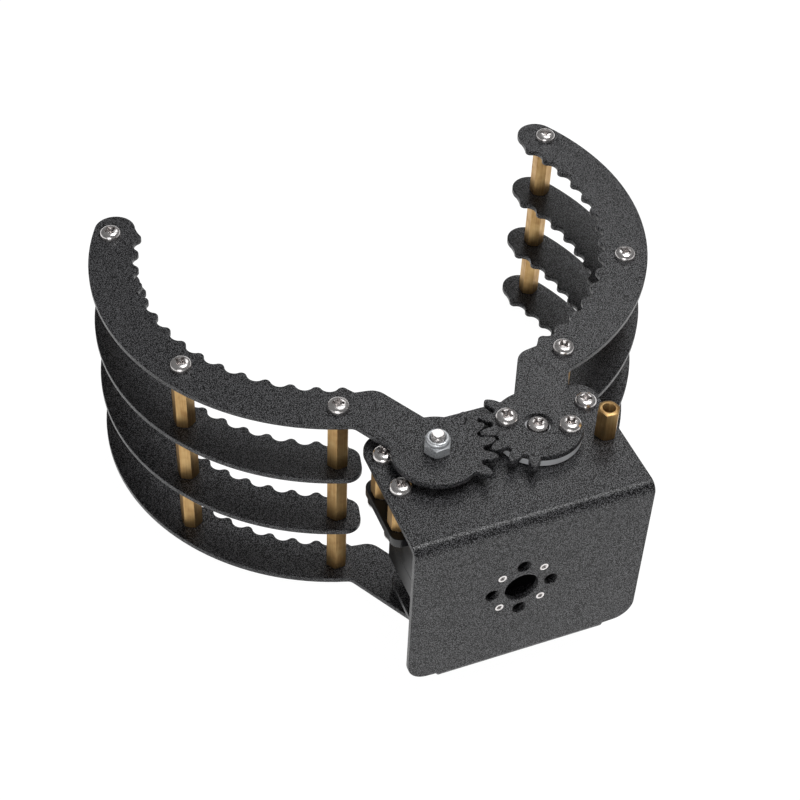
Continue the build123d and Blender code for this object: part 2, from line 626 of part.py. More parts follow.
def make_servo_mounting():
    """Standoffs between shelf and servo ears, their screws and the opening stop."""
    corners = servo_holes()
    below = EAR_TOP - EAR_T
    seat = below - WASHER_T
    standoffs = [hexagon(HEX_FLATS, EAR_TOP, EAR_TOP + EAR_STANDOFF, x, y)
                 - rod(M3_R + THREAD_GAP, EAR_TOP, EAR_TOP + EAR_STANDOFF, x, y) for x, y in corners]
    keep("servo_ear_standoffs", *standoffs)
    keep("servo_ear_washers", *[tube(WASHER_R, M3_CLEAR, seat, below, x, y) for x, y in corners])
    keep("servo_ear_screws", *[Pos(x, y, seat) * pan_screw(EAR_SCREW_L, up=-1) for x, y in corners])
    shelf_screw = pan_screw(SHEET + SCREW_REACH)
    keep("shelf_screws", *[Pos(x, y, BRACKET_TOP) * shelf_screw for x, y in corners[:3]])
    stop_x, stop_y = corners[3]
    stop = hex_spacer(STOP_H, BRACKET_TOP, stop_x, stop_y, SHEET + SCREW_REACH, STOP_TURN)
    keep("opening_stop_post", stop)


def make_pivots():
    """Bushes, bolts and lock nuts of the three plain pivots."""
    reach = PLATE_GAP + SHEET + BUSH_END
    upper_l = SHEET + reach + NUT_H + UPPER_BOLT_END
    lower_l = SHEET + reach + NUT_H + LOWER_BOLT_END
    keep("left_upper_pivot_bush", place_left(pivot_bush(BRACKET_TOP, 1)))
    keep("left_upper_pivot_bolt", place_left(pan_screw(upper_l, up=-1), BRACKET_TOP - SHEET))
    keep("left_upper_pivot_nut", place_left(lock_nut(NUT_TURN), BRACKET_TOP + reach))
    foot_under, foot_top = BRACKET_BOTTOM, BRACKET_BOTTOM + SHEET
    for side, place in (("left", place_left), ("right", place_right)):
        keep(f"{side}_lower_pivot_bush", place(pivot_bush(foot_under, -1)))
        keep(f"{side}_lower_pivot_bolt", place(pan_screw(lower_l, up=-1), foot_under - reach))
        keep(f"{side}_lower_pivot_nut", place(lock_nut(), foot_top))


def make_claws():
    """Both claws with their own tooth phase and pivot holes."""
    horn_holes = [(x, y, M3_CLEAR) for x, y in horn_places()]
    right = claw_sheet("gear", RIGHT_TEETH, [(0, 0, PAN_R + HEAD_CLEAR)] + horn_holes)
    left = claw_sheet("gear", mirrored_teeth(LEFT_TEETH), [(0, 0, SLEEVE_R + SLEEVE_GAP)])
    make_claw("right", place_right, right)
    make_claw("left", place_left, left)


make_bracket()
make_servo_case()
make_servo_inside()
make_output()
make_servo_mounting()
make_pivots()
make_claws()

os.makedirs("parts", exist_ok=True)
for part_name, part_shape in PARTS.items():
    export_step(part_shape, f"parts/{part_name}.step")
print(len(PARTS), "nodes written")
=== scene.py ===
# %% [markdown]
# # A robot claw gripper
# Two curved claws, each a stack of four black sheets on brass posts, hang on a bent bracket. Their
# sector gears mesh, and a servo under the shelf turns the right one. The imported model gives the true
# sizes, so this lesson keeps every piece where that model has it and gives it edges, threads and finish.

# %% Load the frame
import cmath
import json
import math

import bmesh
import bpy
from mathutils import Matrix, Vector


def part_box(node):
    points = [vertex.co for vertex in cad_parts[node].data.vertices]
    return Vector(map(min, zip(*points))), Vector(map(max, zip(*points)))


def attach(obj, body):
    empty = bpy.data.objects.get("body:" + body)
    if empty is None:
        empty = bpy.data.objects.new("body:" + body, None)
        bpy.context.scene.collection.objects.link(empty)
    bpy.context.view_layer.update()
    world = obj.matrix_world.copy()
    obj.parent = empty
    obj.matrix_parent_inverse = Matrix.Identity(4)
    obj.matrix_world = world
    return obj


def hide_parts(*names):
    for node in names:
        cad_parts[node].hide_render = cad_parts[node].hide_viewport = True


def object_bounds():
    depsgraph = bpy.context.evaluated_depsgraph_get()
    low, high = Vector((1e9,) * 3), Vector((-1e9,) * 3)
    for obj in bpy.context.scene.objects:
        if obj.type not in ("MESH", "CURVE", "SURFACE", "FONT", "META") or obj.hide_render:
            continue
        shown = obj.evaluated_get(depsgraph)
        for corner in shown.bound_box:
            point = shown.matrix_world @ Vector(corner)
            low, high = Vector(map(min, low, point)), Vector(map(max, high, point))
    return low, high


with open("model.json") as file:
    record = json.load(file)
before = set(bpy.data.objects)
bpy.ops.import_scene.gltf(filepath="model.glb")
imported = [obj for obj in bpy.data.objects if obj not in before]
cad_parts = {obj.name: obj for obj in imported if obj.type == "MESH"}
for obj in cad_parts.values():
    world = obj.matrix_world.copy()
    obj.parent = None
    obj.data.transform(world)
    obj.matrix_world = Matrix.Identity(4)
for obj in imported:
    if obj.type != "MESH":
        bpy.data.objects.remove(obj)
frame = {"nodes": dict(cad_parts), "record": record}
nodes = frame["nodes"]
cad_low, cad_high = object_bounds()
MM = 0.001
print("CAD box, mm:", [round(x / MM, 1) for x in cad_high - cad_low])

# %% [markdown]
# Three small helpers serve every step below: one puts an object in the scene, and two build nodes.

# %% Small helpers


def new_object(name, data):
    """Object at the origin with that mesh, lamp or camera."""
    made = bpy.data.objects.new(name, data)
    bpy.context.scene.collection.objects.link(made)
    return made


def join(tree, source, target):
    """Links an output socket to an input socket."""
    tree.links.new(source, target)


def add_node(tree, kind, inputs, **settings):
    """A node with its inputs linked or set, by name or by number. A list links one input several times."""
    made = tree.nodes.new(kind)
    for key, value in settings.items():
        setattr(made, key, value)
    for key, value in inputs.items():
        for one in value if isinstance(value, list) else [value]:
            if isinstance(one, bpy.types.NodeSocket):
                join(tree, one, made.inputs[key])
            else:
                made.inputs[key].default_value = one
    return made


# %% [markdown]
# ## The camera
# A render can only be compared with a photograph when both are seen from the same place. The camera
# stands about 0.4 m away on an 80 mm lens, looks down by 45 degrees and leans a little to one side.
# A camera is a matrix of three axes and a place, so building those axes is simpler than a track-to.

# %% Camera
VIEW_TARGET = Vector((-12.549, 42.643, 22.0)) * MM
VIEW_AZIMUTH = math.radians(-23.574)
VIEW_ELEVATION = math.radians(45.127)
VIEW_ROLL = math.radians(2.746)
VIEW_DISTANCE = 397.158 * MM
LENS = 79.99
SENSOR = 36.0
CLIP_NEAR, CLIP_FAR = 0.01, 20.0


def camera_axes(azimuth, elevation, roll):
    """Right, up and backward axes of a camera that looks at its target."""
    flat = math.cos(elevation)
    back = Vector((math.sin(azimuth) * flat, -math.cos(azimuth) * flat, math.sin(elevation)))
    right = Vector((math.cos(azimuth), math.sin(azimuth), 0))
    up = back.cross(right)
    leaned = right * math.cos(roll) + up * math.sin(roll)
    return leaned, back.cross(leaned), back


camera_data = bpy.data.cameras.new("camera")
camera_data.lens, camera_data.sensor_width = LENS, SENSOR
camera = new_object("camera", camera_data)
axis_right, axis_up, axis_back = camera_axes(VIEW_AZIMUTH, VIEW_ELEVATION, VIEW_ROLL)
turned = Matrix((axis_right, axis_up, axis_back)).transposed().to_4x4()
camera.matrix_world = Matrix.Translation(VIEW_TARGET + axis_back * VIEW_DISTANCE) @ turned
camera_data.clip_start, camera_data.clip_end = CLIP_NEAR, CLIP_FAR
bpy.context.scene.camera = camera
bpy.context.scene.view_settings.view_transform = "Standard"

# %% [markdown]
# ## The studio
# The product stands on white under one large soft lamp. A small lamp behind it gives the tops a sheen,
# and a low one in front picks the grain out of the upright faces. The white is the floor's own colour,
# helped by a glow for the camera and for reflections, so upright faces mirror it. The world is white for
# the camera and much dimmer for light and reflections: bright metal needs something dark to mirror, or
# its shape is lost.

# %% Floor, world and lamps
FLOOR_SIZE = 6.0
FLOOR_GAP = 0.02 * MM
FLOOR_WHITE = (0.90, 0.90, 0.90, 1)
FLOOR_ROUGHNESS = 0.9
FLOOR_SHINE = 0.1
FLOOR_GLOW = 0.88
FLOOR_GLOW_STRENGTH = 1.12
WORLD_AMBIENT = 0.18
# Each lamp has a name, a place and a side in metres, and a power in watts.
LAMPS = (
    ("overhead", (0.22, 0.04, 0.82), 0.40, 3.2),
    ("glint", (0.24, 0.40, 0.43), 0.20, 0.26),
    ("front", (-0.46, -0.70, 0.08), 0.50, 2.2),
)


def make_floor():
    """Pale floor just under the claw, which keeps the claw's shadow."""
    mesh = bpy.data.meshes.new("floor")
    half, level = FLOOR_SIZE / 2, cad_low.z - FLOOR_GAP
    corners = [(-half, -half, level), (half, -half, level), (half, half, level), (-half, half, level)]
    mesh.from_pydata(corners, [], [(0, 1, 2, 3)])
    floor = new_object("floor", mesh)
    material = bpy.data.materials.new("floor_white")
    material.use_nodes = True
    tree = material.node_tree
    surface = tree.nodes["Principled BSDF"]
    surface.inputs["Base Color"].default_value = FLOOR_WHITE
    surface.inputs["Roughness"].default_value = FLOOR_ROUGHNESS
    surface.inputs["Specular IOR Level"].default_value = FLOOR_SHINE
    path = tree.nodes.new("ShaderNodeLightPath").outputs
    rays = {0: path["Is Camera Ray"], 1: path["Is Glossy Ray"]}
    seen = add_node(tree, "ShaderNodeMath", rays, operation="MAXIMUM").outputs[0]
    share = add_node(tree, "ShaderNodeMath", {0: seen, 1: FLOOR_GLOW}, operation="MULTIPLY").outputs[0]
    glow = add_node(tree, "ShaderNodeEmission", {"Strength": FLOOR_GLOW_STRENGTH}).outputs[0]
    mix = add_node(tree, "ShaderNodeMixShader", {0: share, 1: surface.outputs[0], 2: glow})
    join(tree, mix.outputs[0], tree.nodes["Material Output"].inputs[0])
    mesh.materials.append(material)


def make_world():
    """White for the camera and for transmission, dimmer as a light."""
    world = bpy.data.worlds.new("studio")
    bpy.context.scene.world = world
    world.use_nodes = True
    tree = world.node_tree
    path = tree.nodes.new("ShaderNodeLightPath").outputs
    rays = {0: path["Is Camera Ray"], 1: path["Is Transmission Ray"]}
    either = add_node(tree, "ShaderNodeMath", rays, operation="MAXIMUM").outputs[0]
    levels = {"Value": either, "To Min": WORLD_AMBIENT, "To Max": 1.0}
    strength = add_node(tree, "ShaderNodeMapRange", levels).outputs["Result"]
    background = tree.nodes["Background"]
    background.inputs["Color"].default_value = (1, 1, 1, 1)
    join(tree, strength, background.inputs["Strength"])


def add_lamp(name, place, side, watts):
    """Square soft lamp that faces the middle of the claw."""
    data = bpy.data.lights.new(name, "AREA")
    data.size, data.energy = side, watts
    lamp = new_object(name, data)
    towards = (cad_low + cad_high) / 2 - Vector(place)
    lamp.matrix_world = Matrix.Translation(place) @ towards.to_track_quat("-Z", "Y").to_matrix().to_4x4()


make_floor()
make_world()
for lamp_row in LAMPS:
    add_lamp(*lamp_row)

# %% [markdown]
# ## Materials
# A finish is a shader whose colour, roughness and bump vary the way the real surface does. Every
# pattern here reads Object coordinates, which are metres in the frame, so its scale is a real size:
# a noise of scale 3000 has grains of a third of a millimetre.

# %% A helper for finishes


class Finish:
    """A material with a few short words for the nodes that its pattern needs."""

    def __init__(self, name, **constants):
        self.material = bpy.data.materials.new(name)
        self.material.use_nodes = True
        self.tree = self.material.node_tree
        self.shader = self.tree.nodes["Principled BSDF"]
        self.place = self.tree.nodes.new("ShaderNodeTexCoord").outputs["Object"]
        for socket, value in constants.items():
            self.shader.inputs[socket.replace("_", " ")].default_value = value

    def add(self, kind, inputs, **settings):
        """A node of this material, with its inputs linked or set."""
        return add_node(self.tree, kind, inputs, **settings)

    def stretched(self, scale):
        """Object coordinates with each axis scaled by itself."""
        return self.add("ShaderNodeMapping", {"Vector": self.place, "Scale": scale}).outputs[0]

    def noise(self, scale, detail=2.0, place=None):
        """Smooth noise of that many waves to the metre."""
        inputs = {"Vector": place or self.place, "Scale": scale, "Detail": detail}
        return self.add("ShaderNodeTexNoise", inputs).outputs["Fac"]

    def grains(self, scale):
        """Cells as wide as the scale says, dark in the middle and brighter towards the edges."""
        return self.add("ShaderNodeTexVoronoi", {"Vector": self.place, "Scale": scale}).outputs["Distance"]

    def between(self, value, low, high, out_low, out_high):
        """A number mapped from one range to another, and kept in it."""
        inputs = {"Value": value, "From Min": low, "From Max": high, "To Min": out_low, "To Max": out_high}
        return self.add("ShaderNodeMapRange", inputs).outputs["Result"]

    def total(self, first, second):
        """The sum of two numbers."""
        return self.add("ShaderNodeMath", {0: first, 1: second}, operation="ADD").outputs[0]

    def ramp(self, value, *stops):
        """A colour ramp from pairs of a place and a colour."""
        made = self.add("ShaderNodeValToRGB", {"Fac": value})
        for k, (at, colour) in enumerate(stops):
            stop = made.color_ramp.elements[k] if k < 2 else made.color_ramp.elements.new(at)
            stop.position = at
            stop.color = (*colour, 1)
        return made.outputs["Color"]

    def colour(self, socket):
        join(self.tree, socket, self.shader.inputs["Base Color"])

    def roughness(self, socket):
        join(self.tree, socket, self.shader.inputs["Roughness"])

    def shine(self, socket):
        join(self.tree, socket, self.shader.inputs["Specular IOR Level"])

    def bump(self, height, depth, strength):
        """Bump of a real depth in metres."""
        inputs = {"Height": height, "Distance": depth, "Strength": strength}
        join(self.tree, self.add("ShaderNodeBump", inputs).outputs[0], self.shader.inputs["Normal"])


# %% [markdown]
# ### Powder coat
# The sheets are painted with a fine textured black powder, which melts into pebbles about a quarter of
# a millimetre wide. The middle of a pebble catches the light, so the coat looks speckled. A bump alone
# goes flat when it is seen from far away, so the middle of each pebble is also painted lighter in the
# colour, a painted glint, and the shine and the roughness change with the same pebbles.

# %% Powder coat
COAT_PEBBLE = 4300.0
COAT_DEPTH = 0.016 * MM
COAT_LOW = (0.006, 0.006, 0.0066)
COAT_MIDDLE = (0.013, 0.013, 0.014)
# Lightest colour, painted in the middle of each pebble as a painted glint.
COAT_PAINTED_GLINT = (0.215, 0.215, 0.225)


def powder_coat():
    """Black speckled paint with a painted glint, lighter in the middle of each pebble; share is 1 in the
    middle of a pebble and 0 between pebbles.
    """
    finish = Finish("black_powder_coat")
    share = finish.between(finish.grains(COAT_PEBBLE), 0.28, 0.82, 1.0, 0.0)
    cloud = finish.between(finish.noise(60.0), 0.3, 0.7, -0.03, 0.03)
    # The ramp paints the middle of each pebble lighter: a painted glint in the black paint's colour.
    finish.colour(finish.ramp(share, (0.30, COAT_LOW), (0.66, COAT_MIDDLE), (0.96, COAT_PAINTED_GLINT)))
    finish.shine(finish.between(share, 0.5, 0.95, 0.22, 0.52))
    finish.roughness(finish.total(finish.between(share, 0.1, 0.9, 0.37, 0.26), cloud))
    finish.bump(share, COAT_DEPTH, 0.8)
    return finish.material


# %% [markdown]
# ### Metals
# Drawn brass has streaks along the bar and darker patches where it was handled. Nickel on the screws is
# smooth and bright, zinc on the nuts is bluer and duller, and turned aluminium shows fine rings round
# its axis. Pure metal shows only what it mirrors, which is dark from some sides, so the zinc and the
# aluminium are made part metal and part pale paint, which the lamps reach.

# %% Metals
STREAKS = (2600.0, 2600.0, 120.0)
SCRATCHES = (5200.0, 900.0, 2400.0)
STREAK_DEPTH = 0.004 * MM
SCRATCH_DEPTH = 0.002 * MM
RING_DEPTH = 0.004 * MM
RING_PHASE = 42000.0
BRASS_DARK, BRASS_MIDDLE, BRASS_LIGHT = (0.36, 0.20, 0.08), (0.52, 0.33, 0.14), (0.62, 0.43, 0.20)


def drawn_brass():
    """Brass bar, streaked along Z."""
    finish = Finish("drawn_brass", Metallic=1.0)
    streak = finish.noise(1.0, 3.0, finish.stretched(STREAKS))
    patch = finish.noise(420.0, 3.0)
    blend = finish.total(streak, patch)
    share = finish.between(blend, 0.6, 1.4, 0.0, 1.0)
    finish.colour(finish.ramp(share, (0.0, BRASS_DARK), (0.5, BRASS_MIDDLE), (1.0, BRASS_LIGHT)))
    finish.roughness(finish.between(blend, 0.7, 1.3, 0.46, 0.34))
    finish.bump(streak, STREAK_DEPTH, 0.4)
    return finish.material


def plated_steel(name, dark, light, smooth, dull, metal=1.0):
    """Bright metal with faint scratches and patches of two shades."""
    finish = Finish(name, Metallic=metal)
    patch = finish.noise(900.0, 3.0)
    scratch = finish.noise(1.0, 4.0, finish.stretched(SCRATCHES))
    finish.colour(finish.ramp(patch, (0.3, dark), (0.65, light)))
    finish.roughness(finish.between(scratch, 0.3, 0.7, smooth, dull))
    finish.bump(scratch, SCRATCH_DEPTH, 0.35)
    return finish.material


def turned_aluminium(pivot):
    """Pale metal with a fine ring every 0.15 mm round an upright axis."""
    finish = Finish("turned_aluminium", Metallic=0.1)
    centred = finish.add("ShaderNodeMapping", {"Vector": finish.place, "Location": (-pivot.x, -pivot.y, 0)})
    flat = finish.add("ShaderNodeVectorMath", {0: centred.outputs[0], 1: (1, 1, 0)}, operation="MULTIPLY")
    radius = finish.add("ShaderNodeVectorMath", {0: flat.outputs[0]}, operation="LENGTH").outputs["Value"]
    turn = finish.add("ShaderNodeMath", {0: radius, 1: RING_PHASE}, operation="MULTIPLY").outputs[0]
    rings = finish.add("ShaderNodeMath", {0: turn}, operation="SINE").outputs[0]
    patch = finish.noise(300.0, 2.0)
    finish.colour(finish.ramp(patch, (0.3, (0.74, 0.75, 0.77)), (0.7, (0.86, 0.87, 0.89))))
    finish.roughness(finish.between(patch, 0.3, 0.7, 0.40, 0.50))
    finish.bump(rings, RING_DEPTH, 0.4)
    return finish.material


# %% [markdown]
# ### Plastics and the parts inside
# The servo's case is moulded black plastic with a faint spark-eroded grain. The lead's grommet is
# rubber, the board is green laminate, and the motor's can is bare steel. The case hides those, yet they
# get finishes of their own, because someone may open the model up.

# %% Plastics
MOULD_GRAIN = 4200.0
MOULD_DEPTH = 0.012 * MM
RUBBER_GRAIN = 2600.0
NYLON_GRAIN = 1800.0
NYLON_SCATTER = (0.6 * MM, 0.6 * MM, 0.6 * MM)
BOARD_CELLS = 650.0
BOARD_DEPTH = 0.02 * MM


def moulded(name, dark, light, smooth, dull, grain=MOULD_GRAIN, **constants):
    """Plastic with a fine grain and a slow change of roughness."""
    finish = Finish(name, **constants)
    fine = finish.noise(grain, 3.0)
    finish.colour(finish.ramp(fine, (0.3, dark), (0.7, light)))
    finish.roughness(finish.between(finish.noise(260.0), 0.3, 0.7, smooth, dull))
    finish.bump(fine, MOULD_DEPTH, 0.5)
    return finish.material


def solder_mask():
    """Green lacquer over cells that stand for tracks and pads."""
    finish = Finish("green_board")
    tracks = finish.grains(BOARD_CELLS)
    finish.colour(finish.ramp(tracks, (0.10, (0.02, 0.20, 0.08)), (0.16, (0.01, 0.09, 0.04))))
    finish.roughness(finish.between(tracks, 0.0, 0.6, 0.25, 0.4))
    finish.bump(tracks, BOARD_DEPTH, 0.4)
    return finish.material


horn_low, horn_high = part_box("servo_horn")
horn_middle = (horn_low + horn_high) / 2
NICKEL_DARK, NICKEL_LIGHT = (0.70, 0.67, 0.66), (0.92, 0.89, 0.88)
ZINC_DARK, ZINC_LIGHT = (0.64, 0.66, 0.69), (0.86, 0.88, 0.90)
coat = powder_coat()
brass = drawn_brass()
nickel = plated_steel("nickel_plate", NICKEL_DARK, NICKEL_LIGHT, 0.18, 0.30)
zinc = plated_steel("zinc_plate", ZINC_DARK, ZINC_LIGHT, 0.24, 0.38, 0.65)
bare_steel = plated_steel("bare_steel", (0.50, 0.50, 0.51), (0.66, 0.66, 0.67), 0.28, 0.40)
aluminium = turned_aluminium(horn_middle)
servo_plastic = moulded("servo_plastic", (0.010, 0.010, 0.011), (0.022, 0.022, 0.023), 0.28, 0.38)
grommet_rubber = moulded("grommet_rubber", (0.012, 0.012, 0.012), (0.03, 0.03, 0.03), 0.55, 0.7,
                         RUBBER_GRAIN)
nylon = moulded("nylon_ring", (0.20, 0.21, 0.22), (0.30, 0.31, 0.32), 0.35, 0.5, NYLON_GRAIN,
                Subsurface_Weight=0.2, Subsurface_Radius=NYLON_SCATTER)
sensor_plastic = moulded("sensor_plastic", (0.03, 0.06, 0.14), (0.05, 0.09, 0.20), 0.4, 0.5)
board = solder_mask()
print("finishes:", len(bpy.data.materials))

# %% [markdown]
# ## Sheets with soft edges
# A laser-cut and painted sheet has edges rounded by the paint, and that thin round is what draws the
# bright line along every black plate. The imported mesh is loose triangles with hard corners, so a copy
# is merged, its flat areas are joined into single faces, and a Bevel rounds each corner. Weighted
# normals keep the large faces flat, so the rounding doesn't smear over them. The copy then stands for
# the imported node.

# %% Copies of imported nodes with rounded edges
EDGE_ANGLE = math.radians(38)
FLAT_ANGLE = math.radians(0.6)
WELD = 0.002 * MM
BEVEL_STEPS = 2
FLATS_WEIGHT = 100


def baked(piece):
    """The piece with its modifiers turned into plain mesh."""
    seen = piece.evaluated_get(bpy.context.evaluated_depsgraph_get())
    mesh = bpy.data.meshes.new_from_object(seen)
    piece.modifiers.clear()
    piece.data = mesh
    return piece


def merged_copy(node_name, name):
    """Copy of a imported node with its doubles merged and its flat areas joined."""
    mesh = nodes[node_name].data.copy()
    shape = bmesh.new()
    shape.from_mesh(mesh)
    bmesh.ops.remove_doubles(shape, verts=shape.verts, dist=WELD)
    bmesh.ops.dissolve_limit(shape, angle_limit=FLAT_ANGLE, verts=shape.verts, edges=shape.edges)
    shape.to_mesh(mesh)
    shape.free()
    mesh.materials.clear()
    return new_object(name, mesh)


def smooth_by_angle(mesh, angle=EDGE_ANGLE):
    """Smooth shading, broken at corners sharper than the angle."""
    for face in mesh.polygons:
        face.use_smooth = True
    mesh.set_sharp_from_angle(angle=angle)


def body_of_node(node_name):
    """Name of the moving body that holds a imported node."""
    groups = frame["record"]["behaviour"]["bodies"]
    return next(body for body, members in groups.items() if node_name in members)


def dress(piece, material, *node_names):
    """Gives a finished piece its material and its body, and hides the nodes that it stands for."""
    if material:
        piece.data.materials.clear()
        piece.data.materials.append(material)
    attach(piece, body_of_node(node_names[0]))
    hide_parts(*node_names)
    return piece


def rounded(node_name, name, width, material):
    """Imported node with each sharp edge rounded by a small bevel."""
    piece = merged_copy(node_name, name)
    bevel = piece.modifiers.new("round", "BEVEL")
    bevel.width, bevel.segments = width, BEVEL_STEPS
    bevel.limit_method, bevel.angle_limit = "ANGLE", EDGE_ANGLE
    bevel.use_clamp_overlap = False
    baked(piece)
    smooth_by_angle(piece.data)
    flats = piece.modifiers.new("flats", "WEIGHTED_NORMAL")
    flats.mode, flats.weight, flats.keep_sharp = "FACE_AREA", FLATS_WEIGHT, True
    baked(piece)
    return dress(piece, material, node_name)


# %% [markdown]
# The bracket's two bends are part cylinders of loose triangles, whose averaged normals would wobble.
# The true normal of a bend points straight away from its axis, so it can simply be written in.

# %% True normals on the bends
BEND_RADIUS = 2.5 * MM
BEND_MIDDLE = 1.75 * MM
END_FACE = 0.3
SAME_WAY = 0.8


def straighten_bends(piece):
    """Radial normals on both bends of the bracket, outside and inside, but not on the sheet's ends."""
    low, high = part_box("mounting_bracket")
    axes = [(low.y + BEND_RADIUS, high.z - BEND_RADIUS, 1), (low.y + BEND_RADIUS, low.z + BEND_RADIUS, -1)]
    mesh = piece.data
    normals = [corner.vector.copy() for corner in mesh.corner_normals]
    for face in mesh.polygons:
        if abs(face.normal.x) > END_FACE:
            continue
        for k in face.loop_indices:
            place = mesh.vertices[mesh.loops[k].vertex_index].co
            for y, z, way in axes:
                away = Vector((0, place.y - y, place.z - z))
                if away.y > WELD or away.z * way < -WELD:
                    continue
                away = away.normalized() * (1 if away.length > BEND_MIDDLE else -1)
                if away.dot(face.normal) > SAME_WAY:
                    normals[k] = away
    mesh.normals_split_custom_set(normals)


SHEET_EDGE = 0.22 * MM
SIDES = ("right", "left")
LAYERS = ("gear", "upper_middle", "lower_middle", "bottom")
for side in SIDES:
    for layer in LAYERS:
        rounded(f"{side}_{layer}_plate", f"{side}_{layer}_sheet", SHEET_EDGE, coat)
straighten_bends(rounded("mounting_bracket", "bracket", SHEET_EDGE, coat))
print("sheets:", len(SIDES) * len(LAYERS) + 1)

# %% [markdown]
# ## The servo
# Three mouldings make the case: a cover, a middle with the ears, and a top. Their parting lines show
# because each edge is rounded a little, so the same bevel does the work. The output boss, the horn and
# the shaft are turned pieces.

# %% Servo pieces
MOULDED_EDGE = 0.22 * MM
TURNED_EDGE = 0.12 * MM
WASHER_EDGE = 0.08 * MM
SMALL_EDGE = 0.05 * MM
PLAIN_PIVOTS = ("left_upper", "left_lower", "right_lower")
for part in ("bottom_cover", "middle_case", "top_case"):
    rounded(f"servo_{part}", f"servo_{part}_moulding", MOULDED_EDGE, servo_plastic)
rounded("servo_lead_grommet", "lead_grommet", TURNED_EDGE, grommet_rubber)
rounded("servo_horn", "horn_disc", TURNED_EDGE, aluminium)
rounded("output_gear_shaft", "output_gear", SMALL_EDGE, bare_steel)
rounded("servo_motor", "motor", TURNED_EDGE, bare_steel)
rounded("servo_control_board", "control_board", SMALL_EDGE, board)
rounded("servo_position_sensor", "position_sensor", TURNED_EDGE, sensor_plastic)
rounded("servo_output_bearing", "output_bearing", TURNED_EDGE, bare_steel)
rounded("servo_ear_washers", "ear_washers", WASHER_EDGE, nickel)
for which in PLAIN_PIVOTS:
    rounded(f"{which}_pivot_bush", f"{which}_bush", TURNED_EDGE, brass)

# %% [markdown]
# ## Fasteners with Geometry Nodes
# Some thirty screws and twenty-odd posts repeat two shapes. Geometry Nodes suit them: one tree makes
# the shape from named sizes and sets a copy on every point of a small mesh. The points come from the
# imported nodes, one for each solid, so a screw lands exactly where its solid is. The export drops
# instances, so each tree ends in Realize Instances and Set Material.

# %% A helper for trees
THREAD_SIDES = 24
POINT_WIDTH = 0.80
FASTENER_ANGLE = math.radians(32)


